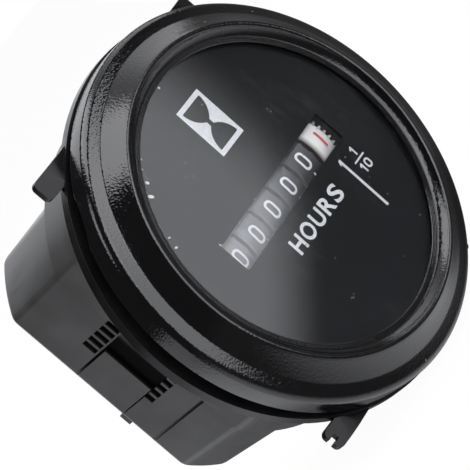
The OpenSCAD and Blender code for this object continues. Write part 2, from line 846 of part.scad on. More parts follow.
// Blade terminal from the circuit board out through the rear wall, with a chamfered tip
module blade_terminal(side) {
  chamfer = 1;
  tip = -case_depth - blade_l;
  blade_top = board_front + blade_proud;
  color([0.78, 0.76, 0.7]) upright() translate([side * blade_x, blade_t / 2, 0]) rotate([90, 0, 0])
    linear_extrude(blade_t) difference() {
      polygon([
        [-blade_w / 2, blade_top], [blade_w / 2, blade_top], [blade_w / 2, tip + chamfer],
        [blade_w / 2 - chamfer, tip], [chamfer - blade_w / 2, tip], [-blade_w / 2, tip + chamfer]
      ]);
      translate([0, tip + blade_l / 2]) circle(blade_hole_r, $fn = 48);
    }
}

module positive_terminal() {
  blade_terminal(-1);
}

module negative_terminal() {
  blade_terminal(1);
}

bezel();
lens();
dial_plate();
lens_gasket();
case();
retaining_clip();
tenths_wheel();
ones_wheel();
tens_wheel();
hundreds_wheel();
thousands_wheel();
ten_thousands_wheel();
wheel_shaft();
ones_pinion();
tens_pinion();
hundreds_pinion();
thousands_pinion();
ten_thousands_pinion();
pinion_shaft();
idler_gear();
idler_arbor();
rotor();
rotor_arbor();
counter_frame();
stator_core();
coil_bobbin();
coil_winding();
circuit_board();
crystal();
capacitor();
control_chip();
positive_terminal();
negative_terminal();
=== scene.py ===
import json
import math
import bpy
from mathutils import Matrix, Vector


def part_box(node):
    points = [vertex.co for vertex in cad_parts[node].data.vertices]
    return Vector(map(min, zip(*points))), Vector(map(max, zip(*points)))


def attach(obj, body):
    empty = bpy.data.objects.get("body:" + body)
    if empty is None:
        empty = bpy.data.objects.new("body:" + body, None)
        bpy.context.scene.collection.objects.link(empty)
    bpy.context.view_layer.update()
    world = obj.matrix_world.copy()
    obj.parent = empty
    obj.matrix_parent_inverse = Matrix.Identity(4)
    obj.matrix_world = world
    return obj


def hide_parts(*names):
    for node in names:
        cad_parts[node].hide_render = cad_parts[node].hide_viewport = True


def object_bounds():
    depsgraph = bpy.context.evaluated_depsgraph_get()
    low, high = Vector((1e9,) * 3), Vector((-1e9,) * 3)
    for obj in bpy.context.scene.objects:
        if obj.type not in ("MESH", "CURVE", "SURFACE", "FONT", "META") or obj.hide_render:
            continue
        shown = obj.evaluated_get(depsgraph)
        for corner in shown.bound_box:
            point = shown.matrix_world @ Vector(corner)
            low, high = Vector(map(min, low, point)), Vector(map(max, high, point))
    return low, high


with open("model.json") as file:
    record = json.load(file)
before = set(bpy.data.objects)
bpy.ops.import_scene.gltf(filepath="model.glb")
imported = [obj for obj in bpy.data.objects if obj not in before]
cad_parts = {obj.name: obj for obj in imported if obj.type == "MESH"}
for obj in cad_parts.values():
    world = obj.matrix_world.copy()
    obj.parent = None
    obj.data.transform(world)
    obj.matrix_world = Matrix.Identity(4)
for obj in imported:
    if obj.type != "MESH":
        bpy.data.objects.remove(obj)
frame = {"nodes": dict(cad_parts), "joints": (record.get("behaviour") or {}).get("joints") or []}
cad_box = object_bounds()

# Camera
# A long lens looks at the meter from its front left and a little above, rolled so that the dial's top
# points to the upper left of the picture. The picture is square.
mm = 0.001
camera_at = Vector((-273.41, -311.02, 48.12)) * mm
camera_right = Vector((0.4400525, -0.4894267, -0.7528714))
camera_up = Vector((0.6234745, -0.4368553, 0.6484111))
camera_lens = 241.25

bpy.ops.object.select_all(action="DESELECT")
bpy.ops.object.camera_add(location=camera_at)
camera = bpy.context.object
axes = Matrix((camera_right, camera_up, camera_right.cross(camera_up))).transposed()
camera.rotation_euler = axes.to_euler()
camera.data.lens = camera_lens
camera.data.sensor_width = 36
camera.data.clip_start = 0.01
camera.data.clip_end = 20
bpy.context.scene.camera = camera
bpy.context.scene.view_settings.view_transform = "Standard"


# Studio
# A white floor and a white sky, dark walls that the gloss black shows as black, and glowing cards in
# front, overhead, behind and below. Walls and cards are out of the camera's sight.
class Wire:
    """A socket of a node tree, with Python's arithmetic and one way to add any other node."""

    def __init__(self, socket):
        self.socket = socket
        self.tree = socket.id_data

    def node(self, kind, settings=None, sockets=None, out=0):
        made = self.tree.nodes.new(kind)
        for name, value in (settings or {}).items():
            setattr(made, name, value)
        for name, value in (sockets or {}).items():
            target = next(s for s in made.inputs if name in (s.identifier, s.name))
            if isinstance(value, Wire):
                self.tree.links.new(value.socket, target)
            else:
                target.default_value = value
        return Wire(made.outputs[out]) if made.outputs else None

    def maths(self, operation, first, second=0.0):
        return self.node("ShaderNodeMath", {"operation": operation}, {"Value": first, "Value_001": second})

    def __add__(self, other):
        return self.maths("ADD", self, other)

    __radd__ = __add__

    def __sub__(self, other):
        return self.maths("SUBTRACT", self, other)

    def __rsub__(self, other):
        return self.maths("SUBTRACT", other, self)

    def __mul__(self, other):
        return self.maths("MULTIPLY", self, other)

    __rmul__ = __mul__

    def part(self, index):
        """X, Y or Z of a vector, by its number."""
        return self.node("ShaderNodeSeparateXYZ", {}, {"Vector": self}, index)

    def noise(self, scale, detail):
        """Cloudy noise over these coordinates."""
        return self.node("ShaderNodeTexNoise", {}, {"Vector": self, "Scale": scale, "Detail": detail})

    def above(self, low, high):
        """0 below low, 1 above high, smooth between; with low over high it falls instead."""
        return self.node("ShaderNodeMapRange", {"interpolation_type": "SMOOTHSTEP"},
                         {"Value": self, "From Min": low, "From Max": high})

    def mix(self, first, second):
        """The first colour where this is 0, the second where it is 1."""
        return self.node("ShaderNodeMix", {"data_type": "RGBA"},
                         {"Factor_Float": self, "A_Color": first, "B_Color": second}, 2)


def new_finish(name):
    """An empty material, and a wire with the piece's own coordinates to start from."""
    finish = bpy.data.materials.new(name)
    finish.use_nodes = True
    finish.node_tree.nodes.clear()
    place = finish.node_tree.nodes.new("ShaderNodeTexCoord")
    return finish, Wire(place.outputs["Object"])


def hide_from_camera(piece):
    """Hides a studio piece from the camera and from matt surfaces. Gloss and glass still show it."""
    piece.visible_camera = False
    piece.visible_diffuse = False
    piece.visible_shadow = False


def seen_by_eye(tree):
    """1 where the camera looks, straight or by way of gloss and glass, and 0 for light on matt pieces."""
    rays = tree.nodes.new("ShaderNodeLightPath")
    seen = Wire(rays.outputs["Is Camera Ray"]) + Wire(rays.outputs["Is Glossy Ray"])
    return (seen + Wire(rays.outputs["Is Transmission Ray"])).above(0.0, 0.5)


world = bpy.data.worlds.new("white_room")
bpy.context.scene.world = world
world.use_nodes = True
world.node_tree.nodes.clear()
seen = seen_by_eye(world.node_tree)
sky_light = 0.35
sky_strength = seen * (1 - sky_light) + sky_light
sky = seen.node("ShaderNodeBackground", {}, {"Color": (1, 1, 1, 1), "Strength": sky_strength})
seen.node("ShaderNodeOutputWorld", {}, {"Surface": sky})

floor_z = cad_box[0].z
floor_white = 0.965
bpy.ops.object.select_all(action="DESELECT")
bpy.ops.mesh.primitive_plane_add(size=6, location=(0, 0, floor_z))
floor = bpy.context.object
floor.name = "floor"
finish, place = new_finish("white_floor")
seen = seen_by_eye(finish.node_tree) * floor_white
lit = place.node("ShaderNodeBsdfDiffuse", {}, {"Color": (0.9, 0.9, 0.9, 1)})
white = place.node("ShaderNodeEmission", {}, {"Color": (1, 1, 1, 1), "Strength": 1.0})
mixed = place.node("ShaderNodeMixShader", {}, {"Fac": seen, "Shader": lit, "Shader_001": white})
place.node("ShaderNodeOutputMaterial", {}, {"Surface": mixed})
floor.data.materials.append(finish)
floor.visible_glossy = False
floor.visible_transmission = False

wall_r = 1.4
wall_top = 0.9
wall_foot = -0.7
finish, place = new_finish("dark_studio")
east = place.part(0)
north = place.part(1)
grey_corner = east.above(-0.3, 0.6) * north.above(-0.9, -0.3)
wall_strength = grey_corner * 0.14 + east.above(0.3, 0.8) * 0.05 + 0.012
dim = place.node("ShaderNodeEmission", {}, {"Color": (1, 1, 1, 1), "Strength": wall_strength})
place.node("ShaderNodeOutputMaterial", {}, {"Surface": dim})
bpy.ops.object.select_all(action="DESELECT")
bpy.ops.mesh.primitive_cylinder_add(vertices=96, radius=wall_r, depth=wall_top - wall_foot,
                                    end_fill_type="NGON", location=(0, 0, (wall_top + wall_foot) / 2))
dark_studio = bpy.context.object
dark_studio.name = "dark_studio"
dark_studio.data.materials.append(finish)
hide_from_camera(dark_studio)


def glowing_card(name, size, at, turn, glow):
    """A card that glows; the glow is a function of its own coordinates, giving strength and cover."""
    bpy.ops.object.select_all(action="DESELECT")
    bpy.ops.mesh.primitive_plane_add(size=size, location=at, rotation=turn)
    card = bpy.context.object
    card.name = name
    finish, place = new_finish(name)
    strength, cover = glow(place.part(0), place.part(1))
    light = place.node("ShaderNodeEmission", {}, {"Color": (0.97, 0.98, 1.02, 1), "Strength": strength})
    clear = place.node("ShaderNodeBsdfTransparent")
    faded = place.node("ShaderNodeMixShader", {}, {"Fac": cover, "Shader": clear, "Shader_001": light})
    place.node("ShaderNodeOutputMaterial", {}, {"Surface": faded})
    card.data.materials.append(finish)
    hide_from_camera(card)


def front_glow(x, z):
    """Brighter to its left and top, with its lower right corner cut off at a slant."""
    slanting_foot = ((z + 0.075) * 0.847 - (x - 0.447) * 0.532).above(-0.014, 0.014)
    cover = x.above(0.470, 0.424) * x.above(-0.30, -0.20) * z.above(0.36, 0.30) * slanting_foot
    strength = x.above(0.40, 0.10) * 1.7 + z.above(0.0, 0.25) * 2.0 + 1.5
    return strength, cover * z.above(-0.21, -0.13)


def overhead_glow(x, y):
    """Brightest ahead on the left, then a dark gap across, and an even part behind the gap."""
    left_edge = (x + 0.118 - y * 0.158).above(-0.015, 0.015)
    dark_gap = y.above(0.20, 0.24) * y.above(0.60, 0.56)
    cover = left_edge * x.above(1.3, 1.1) * y.above(1.2, 1.05) * y.above(-0.58, -0.52) * (1 - dark_gap)
    ahead = x.above(0.25, 0.17) * 4.1 + x.above(0.28, 0.60) + 0.9
    behind = y.above(0.3, 0.5)
    return ahead * (1 - behind) + behind * 1.6, cover


def sheen_glow(x, y):
    """An even patch with soft edges."""
    return 3.3, x.above(0.30, 0.18) * x.above(-0.30, -0.18) * y.above(0.30, 0.15) * y.above(-0.30, -0.15)


def back_glow(x, z):
    """Even, with a crisper edge on its right than on its other sides."""
    return 1.2, x.above(0.33, 0.30) * x.above(-0.85, -0.65) * z.above(0.55, 0.42) * z.above(-0.62, -0.52)


def low_back_glow(x, z):
    """Dim and even, fading to both sides."""
    return 0.9, x.above(0.50, 0.30) * x.above(-0.50, -0.30) * z.above(0.33, 0.28)


def table_glow(x, y):
    """A table top that is lit from the meter backwards, less so in the meter's own shadow."""
    lit = y.above(-0.30, -0.015) * x.above(0.57, 0.15) * x.above(-0.90, -0.30)
    own_shadow = y.above(0.12, 0.30) * x.above(-0.14, 0.05)
    return lit * (1 - own_shadow * 0.9) * 1.35 + 0.1, y.above(-0.9, -0.8)


level = (0, 0, 0)
upright = math.radians(90)
glowing_card("front_card", 1.3, (0, -0.5, 0), (upright, 0, 0), front_glow)
glowing_card("overhead_card", 2.7, (0, 0, 0.6), level, overhead_glow)
glowing_card("sheen_card", 0.62, (-0.55, 0.25, 0.62), level, sheen_glow)
glowing_card("back_card", 1.8, (0.6, 1.04, 0.2), (upright, 0, math.radians(-30)), back_glow)
glowing_card("low_back_card", 1.0, (-0.63, 0.90, -0.35), (upright, 0, math.radians(35)), low_back_glow)
glowing_card("table_card", 1.9, (0, 0, -0.3), level, table_glow)

# Name, place, turn, width, depth and watts of each lamp.
lamps = [
    ("overhead_lamp", (-0.05, 0.05, 0.6), (0, 0, 0), 0.95, 1.6, 8.0),
    ("front_lamp", (0.05, -0.6, 0.1), (math.radians(80), 0, 0), 0.6, 0.6, 1.5),
    ("left_lamp", (-0.7, 0.25, 0.02), (0, math.radians(-90), 0), 0.6, 0.6, 3.5),
]
for name, at, turn, wide, deep, watts in lamps:
    bpy.ops.object.select_all(action="DESELECT")
    bpy.ops.object.light_add(type="AREA", location=at, rotation=turn)
    lamp = bpy.context.object
    lamp.name = name
    lamp.data.shape = "RECTANGLE"
    lamp.data.size = wide
    lamp.data.size_y = deep
    lamp.data.energy = watts
    lamp.visible_camera = False
    lamp.visible_glossy = False


# Bezel
# Drawn from thin steel sheet, coined to a rolled lip, a sloping front and a shallow bevel, crimped
# behind the case flange and sprayed gloss black. The paint has a fine orange peel and a little dust.
def arc(centre, radius, start, end, steps):
    turn = [math.radians(start + (end - start) * i / steps) for i in range(steps + 1)]
    return [(centre[0] + radius * math.cos(a), centre[1] + radius * math.sin(a)) for a in turn]


def trace(name, points):
    """A chain of vertices drawn point by point, left selected in edit mode. Points are (x, y, z)."""
    bpy.ops.object.select_all(action="DESELECT")
    bpy.ops.mesh.primitive_plane_add(size=mm)
    piece = bpy.context.object
    piece.name = name
    bpy.ops.object.mode_set(mode="EDIT")
    bpy.ops.mesh.select_all(action="SELECT")
    bpy.ops.mesh.merge(type="CENTER")
    bpy.ops.transform.translate(value=points[0])
    for before, after in zip(points, points[1:]):
        step = Vector(after) - Vector(before)
        bpy.ops.mesh.extrude_vertices_move(TRANSFORM_OT_translate={"value": step})
    bpy.ops.mesh.select_all(action="SELECT")
    return piece


def lathe(name, outline, steps):
    """A closed outline of (radius, height above the panel seat), in millimetres, turned about the axis."""
    closed = outline + outline[:1]
    piece = trace(name, [(r * mm, -z * mm, 0) for r, z in closed])
    bpy.ops.mesh.spin(steps=steps, angle=math.tau, center=(0, 0, 0), axis=(0, 1, 0))
    bpy.ops.mesh.select_all(action="SELECT")
    bpy.ops.mesh.remove_doubles(threshold=0.001 * mm)
    bpy.ops.mesh.normals_make_consistent(inside=False)
    bpy.ops.object.mode_set(mode="OBJECT")
    bpy.ops.object.shade_smooth_by_angle(angle=math.radians(32))
    return piece


def dress(piece, finish):
    piece.data.materials.clear()
    piece.data.materials.append(finish)


low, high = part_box("bezel")
skirt_r = high.x / mm
lip_h = -low.y / mm
lip_r = skirt_r - 5
crease = Vector((skirt_r - 2.2, 4.5))
slope_tilt = 43
bevel_tilt = 17
crease_r = 0.5
edge_r = 1.2
front_points = 8
lip_bend_r = 0.5
lip_top = arc((lip_r, lip_h - lip_bend_r), lip_bend_r, 160, 90 - slope_tilt, 16)
hollow = -0.06
square_to_slope = 0.7
slope_top = Vector(lip_top[-1])
crease_reach = crease_r * math.tan(math.radians((slope_tilt - bevel_tilt) / 2))
slope_run = (crease - slope_top).normalized()
slope_foot = crease - slope_run * crease_reach
slope = []
for i in range(1, front_points):
    share = i / front_points
    dip = hollow * math.sin(math.pi * share) * square_to_slope
    slope.append(tuple(slope_top.lerp(slope_foot, share) + Vector((dip, dip))))
bevel_run = Vector((math.cos(math.radians(bevel_tilt)), -math.sin(math.radians(bevel_tilt))))
bevel_start = crease + bevel_run * crease_reach
bend_middle = (slope_foot + bevel_start) * 0.25 + crease * 0.5
crease_bend = [tuple(slope_foot), tuple(bend_middle), tuple(bevel_start)]
edge_fall = (skirt_r - edge_r - crease.x) * math.tan(math.radians(bevel_tilt))
edge_z = crease.y - edge_fall - edge_r / math.cos(math.radians(bevel_tilt))
sight_r = 22.1
ledge_h = 5.85
ledge_under = 5.5
line_half_w = 0.05
line_floor = 5.79
ledge_lines = []
for r in (22.34, 22.58, 22.82):
    ledge_lines += [(r - line_half_w, ledge_h), (r, line_floor), (r + line_half_w, ledge_h)]
ledge = ([(sight_r, ledge_under), (sight_r, 5.78), (22.16, ledge_h)] + ledge_lines
         + [(22.95, ledge_h), (23.1, 5.9)])
front_edge = arc((skirt_r - edge_r, edge_z), edge_r, 90 - bevel_tilt, 0, 16)
rear_edge_r = 0.4
rear_edge = arc((skirt_r - rear_edge_r, rear_edge_r), rear_edge_r, 0, -90, 8)
crimp_r = 27.0
crimp_t = 0.5
inner_r = 28.9
inside = [(crimp_r, 0.0), (crimp_r, crimp_t), (inner_r, crimp_t), (inner_r, 3.0), (27.2, 3.85),
          (lip_r, 6.3), (23.35, ledge_under)]
bezel_outline = ledge + lip_top + slope + crease_bend + front_edge + rear_edge + inside
bezel = lathe("bezel_shell", bezel_outline, 288)
pry_angle = math.radians(140)
pry_r = 10 * mm
pry_depth = 0.9 * mm
pry_out = 29 * mm
notch_at = Vector((math.cos(pry_angle) * pry_out, pry_r - pry_depth, math.sin(pry_angle) * pry_out))
bpy.ops.object.select_all(action="DESELECT")
bpy.ops.mesh.primitive_cylinder_add(vertices=96, radius=pry_r, depth=2 * mm, location=notch_at,
                                    rotation=(0, math.radians(90) - pry_angle, 0))
cutter = bpy.context.object
bpy.ops.object.select_all(action="DESELECT")
bpy.context.view_layer.objects.active = bezel
bezel.select_set(True)
cut = bezel.modifiers.new("pry_notch", "BOOLEAN")
cut.operation = "DIFFERENCE"
cut.object = cutter
bpy.ops.object.modifier_apply(modifier=cut.name)
bpy.ops.object.shade_smooth_by_angle(angle=math.radians(32))
bpy.data.objects.remove(cutter)

finish, place = new_finish("gloss_black_paint")
peel = place.noise(3400.0, 1.0)
cloud = place.noise(180.0, 2.0)
dust = place.node("ShaderNodeTexVoronoi", {}, {"Vector": place, "Scale": 420.0})
speck = (1 - dust.above(0.05, 0.09)) * cloud.above(0.55, 0.62)
tone = speck.mix((0.0045, 0.0045, 0.005, 1), (0.16, 0.16, 0.15, 1))
bump = place.node("ShaderNodeBump", {}, {"Strength": 1.0, "Distance": 0.03 * mm, "Height": peel})
paint = place.node("ShaderNodeBsdfPrincipled", {}, {"Base Color": tone, "Roughness": cloud * 0.04 + 0.03,
                                                    "Normal": bump, "IOR": 1.5})
place.node("ShaderNodeOutputMaterial", {}, {"Surface": paint})
dress(bezel, finish)
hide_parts("bezel")
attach(bezel, "meter_body")

# Lens
# A flat disc of clear acrylic, held under the lip. It mirrors the cards, lets the lamps through, and
# has dust, faint scratches and specks of dried paint on its front.
low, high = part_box("lens")
lens_gap = 0.05 * mm
lens_t = high.y - low.y - lens_gap
bpy.ops.object.select_all(action="DESELECT")
bpy.ops.mesh.primitive_cylinder_add(vertices=192, radius=high.x, depth=lens_t, end_fill_type="NGON",
                                    location=(0, low.y + lens_t / 2, 0), rotation=(math.radians(90), 0, 0))
lens = bpy.context.object
lens.name = "lens_disc"
bpy.ops.object.mode_set(mode="EDIT")
bpy.ops.mesh.select_all(action="DESELECT")
bpy.ops.mesh.edges_select_sharp(sharpness=math.radians(40))
bpy.ops.mesh.bevel(offset=0.1 * mm, segments=2, affect="EDGES")
bpy.ops.object.mode_set(mode="OBJECT")
bpy.ops.object.transform_apply(location=True, rotation=True, scale=True)
bpy.ops.object.shade_smooth_by_angle(angle=math.radians(8))
finish, place = new_finish("clear_acrylic")
haze = place.noise(60.0, 2.0)
glass = place.node("ShaderNodeBsdfPrincipled", {}, {"Base Color": (0.97, 0.975, 0.98, 1),
                                                    "Roughness": haze * 0.01 + 0.002,
                                                    "Transmission Weight": 1.0, "IOR": 1.49})
dust = place.node("ShaderNodeTexVoronoi", {}, {"Vector": place, "Scale": 620.0})
settled = place.noise(210.0, 2.0)
scuffed = place.noise(75.0, 1.0)
slanted = place.node("ShaderNodeMapping", {}, {"Vector": place, "Rotation": (0, math.radians(20), 0),
                                               "Scale": (2600.0, 1.0, 150.0)})
hairs = slanted.noise(1.0, 1.0)
marks = (1 - dust.above(0.05, 0.10)) * settled.above(0.56, 0.64) * 0.5
marks = marks + hairs.above(0.56, 0.74) * scuffed.above(0.50, 0.60) * 0.035
film = place.node("ShaderNodeBsdfDiffuse", {}, {"Color": (0.62, 0.62, 0.62, 1)})
dusty = place.node("ShaderNodeMixShader", {}, {"Fac": marks, "Shader": glass, "Shader_001": film})
clear = place.node("ShaderNodeBsdfTransparent", {}, {"Color": (0.93, 0.93, 0.94, 1)})
rays = finish.node_tree.nodes.new("ShaderNodeLightPath")
lets_lamps_in = place.node("ShaderNodeMixShader", {}, {"Fac": Wire(rays.outputs["Is Shadow Ray"]),
                                                       "Shader": dusty, "Shader_001": clear})
place.node("ShaderNodeOutputMaterial", {}, {"Surface": lets_lamps_in})
dress(lens, finish)
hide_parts("lens")
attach(lens, "meter_body")

lens_front = low.y
finish, place = new_finish("dried_paint")
grain = place.noise(5000.0, 2.0)
tone = grain.mix((0.50, 0.50, 0.49, 1), (0.85, 0.85, 0.83, 1))
crust = place.node("ShaderNodeBsdfPrincipled", {}, {"Base Color": tone, "Roughness": grain * 0.2 + 0.5})
place.node("ShaderNodeOutputMaterial", {}, {"Surface": crust})
speck_t = 0.12
speck_rise = 0.03
# Of each speck: place to the right and up, width and height in millimetres, and lean in radians.
specks = [(-12.48, 17.94, 0.16, 0.30, 0.08), (-13.64, 17.08, 0.14, 0.24, 0.1),
          (-14.17, 16.20, 0.10, 0.12, 0), (-14.28, 15.88, 0.09, 0.11, 0),
          (-14.81, 15.52, 0.44, 0.58, 0.5), (-16.15, 14.08, 0.52, 0.94, 0.75),
          (-19.36, 9.10, 0.22, 0.42, 1.2), (-19.83, 7.63, 0.30, 0.56, 1.2), (-1.27, 21.75, 0.30, 0.36, 0),
          (5.32, -1.61, 0.22, 0.50, -0.3), (-14.73, 3.20, 0.16, 0.50, 0.1), (-9.75, 2.88, 0.16, 0.30, 0.4),
          (-8.84, -1.40, 0.14, 0.30, 0.2), (-5.02, 3.08, 0.14, 0.18, 0), (0.36, -1.75, 0.14, 0.20, 0)]
for i, (x, z, wide, tall, lean) in enumerate(specks):
    bpy.ops.object.select_all(action="DESELECT")
    bpy.ops.mesh.primitive_ico_sphere_add(subdivisions=3, radius=0.5 * mm)
    speck = bpy.context.object
    speck.name = f"paint_speck_{i + 1}"
    bpy.ops.object.mode_set(mode="EDIT")
    bpy.ops.mesh.select_all(action="SELECT")
    bpy.ops.transform.vertex_random(offset=0.05 * mm, seed=i)
    bpy.ops.object.mode_set(mode="OBJECT")
    speck.scale = (wide, speck_t, tall)
    speck.rotation_euler = (0, -lean, 0)
    speck.location = (x * mm, lens_front - speck_rise * mm, z * mm)
    bpy.ops.object.transform_apply(location=True, rotation=True, scale=True)
    bpy.ops.object.shade_smooth()
    dress(speck, finish)
    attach(speck, "meter_body")

# Dial plate
# Thin sheet printed satin black, with a window for the digits. It lies flat behind the lens.
dial = frame["nodes"]["dial_plate"]
dial_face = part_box("dial_plate")[0].y
finish, place = new_finish("satin_black_print")
grain = place.noise(2200.0, 2.0)
cloud = place.noise(90.0, 3.0)
tone = cloud.mix((0.005, 0.0055, 0.007, 1), (0.0073, 0.008, 0.0098, 1))
ink = place.node("ShaderNodeBsdfPrincipled", {}, {"Base Color": tone, "Roughness": grain * 0.04 + 0.45,
                                                  "Specular IOR Level": 0.12})
place.node("ShaderNodeOutputMaterial", {}, {"Surface": ink})
dial_black = finish
dress(dial, finish)

# Dial print
# White screen print on the dial: an hourglass sign, the unit word, a leader line and a tenth mark.
# The print sits a hair turned on the plate, as it does on the real one.
print_turn = math.radians(0.9)
print_rise = 0.012 * mm
finish, place = new_finish("white_screen_ink")
grain = place.noise(5200.0, 2.0)
tone = grain.above(0.35, 0.75).mix((0.70, 0.71, 0.73, 1), (0.86, 0.87, 0.88, 1))
bump = place.node("ShaderNodeBump", {}, {"Strength": 0.1, "Distance": 0.02 * mm, "Height": grain})
ink = place.node("ShaderNodeBsdfPrincipled", {}, {"Base Color": tone, "Roughness": grain * 0.15 + 0.45,
                                                  "Normal": bump})
place.node("ShaderNodeOutputMaterial", {}, {"Surface": ink})
white_ink = finish


def settle(piece):
    """Puts the piece's place, turn and size into its mesh."""
    bpy.ops.object.select_all(action="DESELECT")
    bpy.context.view_layer.objects.active = piece
    piece.select_set(True)
    bpy.ops.object.transform_apply(location=True, rotation=True, scale=True)


def lay_on_dial(piece, x, z, layers=1):
    """Stands flat print up against the dial face, at x to the right and z up, in millimetres."""
    piece.rotation_euler = (math.radians(90), 0, 0)
    settle(piece)
    piece.location = (x * mm, dial_face - layers * print_rise, z * mm)
    settle(piece)
    piece.rotation_euler = (0, print_turn, 0)
    settle(piece)


def printed(name, points):
    """A flat filled shape from (x, y) points in millimetres."""
    piece = trace(name, [(x * mm, y * mm, 0) for x, y in points + points[:1]])
    bpy.ops.mesh.remove_doubles(threshold=0.001 * mm)
    bpy.ops.mesh.edge_face_add()
    bpy.ops.mesh.normals_make_consistent(inside=False)
    bpy.ops.object.mode_set(mode="OBJECT")
    if piece.data.polygons[0].normal.z < 0:
        piece.data.flip_normals()
    return piece


def lettered(name, words, height, weight, wide=1.0):
    """Flat lettering of a capital height in millimetres, centred, as a mesh."""
    capital_share = 0.73
    bpy.ops.object.select_all(action="DESELECT")
    bpy.ops.object.text_add()
    piece = bpy.context.object
    piece.name = name
    piece.data.body = words
    piece.data.size = height / capital_share * mm
    piece.data.offset = weight * mm
    piece.data.align_x = "CENTER"
    piece.data.align_y = "CENTER"
    piece.data.resolution_u = 6
    piece.scale.x = wide
    bpy.ops.object.convert(target="MESH")
    settle(piece)
    return piece


def fit_width(piece, left, right):
    """Draws a letter out to span from left to right, in millimetres."""
    piece.scale.x = (right - left) * mm / piece.dimensions.x
    settle(piece)
    edge = min(v.co.x for v in piece.data.vertices)
    piece.location.x = left * mm - edge
    settle(piece)


def ring_zero(name, wide, tall, stroke):
    """A nought with straight sides, as an outer and an inner rounded outline bridged by faces."""
    loops = []
    for inset in (0, stroke):
        half_w = wide / 2 - inset
        half_h = tall / 2 - inset
        bend = half_w * 0.92
        corners = [(half_w - bend, half_h - bend, 0), (bend - half_w, half_h - bend, 90),
                   (bend - half_w, bend - half_h, 180), (half_w - bend, bend - half_h, 270)]
        loops.append([p for x, y, turn in corners for p in arc((x, y), bend, turn, turn + 90, 8)])
    rims = []
    for loop in loops:
        rims.append(trace(name, [(x * mm, y * mm, 0) for x, y in loop + loop[:1]]))
        bpy.ops.mesh.remove_doubles(threshold=0.001 * mm)
        bpy.ops.object.mode_set(mode="OBJECT")
    piece = joined(rims, name)
    bpy.ops.object.mode_set(mode="EDIT")
    bpy.ops.mesh.select_all(action="SELECT")
    bpy.ops.mesh.bridge_edge_loops()
    bpy.ops.object.mode_set(mode="OBJECT")
    if piece.data.polygons[0].normal.z < 0:
        piece.data.flip_normals()
    return piece


def joined(pieces, name):
    bpy.ops.object.select_all(action="DESELECT")
    for piece in pieces:
        piece.select_set(True)
    bpy.context.view_layer.objects.active = pieces[0]
    bpy.ops.object.join()
    whole = bpy.context.object
    whole.name = name
    return whole


def box_shape(wide, tall):
    return [(-wide / 2, -tall / 2), (wide / 2, -tall / 2), (wide / 2, tall / 2), (-wide / 2, tall / 2)]


sign_w = 5.74
sign_h = 8.3
sign_x = 0.35
sign_z = 13.6
bulb_half = 2.25
bulb_side_r = 3.4
bulb_l = 3.1
sign = printed("hourglass_field", box_shape(sign_w, sign_h))
dress(sign, white_ink)
lay_on_dial(sign, sign_x, sign_z)
lean = math.degrees(math.asin(bulb_l / bulb_side_r))
bulb = (arc((bulb_half - bulb_side_r, 0), bulb_side_r, 0, lean, 16)
        + arc((bulb_side_r - bulb_half, 0), bulb_side_r, 180 - lean, 180, 16))
sign_border = 0.72
flat_z = sign_h / 2 - sign_border
for name, up in (("hourglass_upper_bulb", 1), ("hourglass_lower_bulb", -1)):
    shape = [(x, up * (flat_z - y)) for x, y in bulb]
    piece = printed(name, shape)
    dress(piece, dial_black)
    lay_on_dial(piece, sign_x, sign_z, 2)
    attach(piece, "meter_body")
neck = printed("hourglass_neck", box_shape(0.75, 2.6))
dress(neck, dial_black)
lay_on_dial(neck, sign_x, sign_z, 2)

unit_z = -5.45
unit_h = 2.5
unit_weight = 0.085
# Each letter with its left and right edge, in millimetres.
unit_letters = [("H", -6.4, -4.2), ("O", -3.7, -1.2), ("U", -0.7, 1.5), ("R", 2.0, 4.3), ("S", 4.7, 6.8)]
letters = []
for letter, left, right in unit_letters:
    piece = lettered("unit_letter_" + letter, letter, unit_h, unit_weight)
    fit_width(piece, left, right)
    lay_on_dial(piece, 0, unit_z)
    letters.append(piece)
unit = joined(letters, "unit_word")
leader_shape = [(0.22, -4.45), (0.22, 4.45), (-0.18, 4.45), (-0.50, 3.85), (-0.50, 3.60), (-0.22, 3.85),
                (-0.22, -4.45)]
leader = printed("leader_line", leader_shape)
lay_on_dial(leader, 10.55, -7.6)
one_shape = [(0.15, -0.74), (0.15, 0.74), (-0.09, 0.74), (-0.46, 0.44), (-0.46, 0.17), (-0.15, 0.35),
             (-0.15, -0.74)]
tenth_one = printed("tenth_one", one_shape)
lay_on_dial(tenth_one, 13.65, -3.98)
tenth_bar = printed("tenth_bar", box_shape(2.55, 0.26))
lay_on_dial(tenth_bar, 13.35, -5.2)
ten_one = printed("ten_one", one_shape)
ten_z = -6.5
lay_on_dial(ten_one, 12.72, ten_z)
ten_zero = ring_zero("ten_zero", 1.18, 1.48, 0.29)
lay_on_dial(ten_zero, 13.88, ten_z)
tenth_ten = joined([ten_one, ten_zero], "tenth_ten")
for piece in (sign, unit, leader, tenth_one, tenth_bar, tenth_ten):
    dress(piece, white_ink)
for piece in (sign, neck, unit, leader, tenth_one, tenth_bar, tenth_ten):
    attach(piece, "meter_body")


